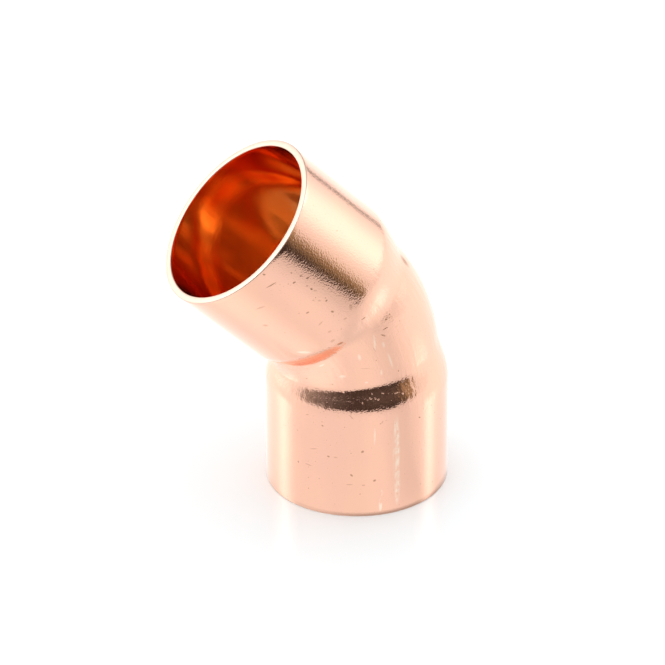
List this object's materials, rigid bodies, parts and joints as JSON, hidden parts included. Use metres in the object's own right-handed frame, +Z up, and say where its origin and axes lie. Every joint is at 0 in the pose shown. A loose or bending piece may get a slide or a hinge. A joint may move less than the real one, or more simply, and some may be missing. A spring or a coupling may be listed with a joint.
{
  "type": "forty-five degree pipe elbow",
  "caption": "Short thin-walled copper elbow that turns a pipe by forty-five degrees, with a plain socket at each end and a narrower bend between them.",
  "frame": {"origin": "centre of the lower socket's mouth, in the plane that it stands on", "axes": "+Z up along the lower socket's axis; the bend lies in the XZ plane and the upper socket leans 45 degrees from +Z towards -X"},
  "size_m": [0.037, 0.0238, 0.0485],
  "materials": {
    "copper": "bright drawn copper, smooth, with faint drawing marks and handling scratches"
  },
  "bodies": {
    "root": {"elbow": "copper"}
  },
  "joints": []
}
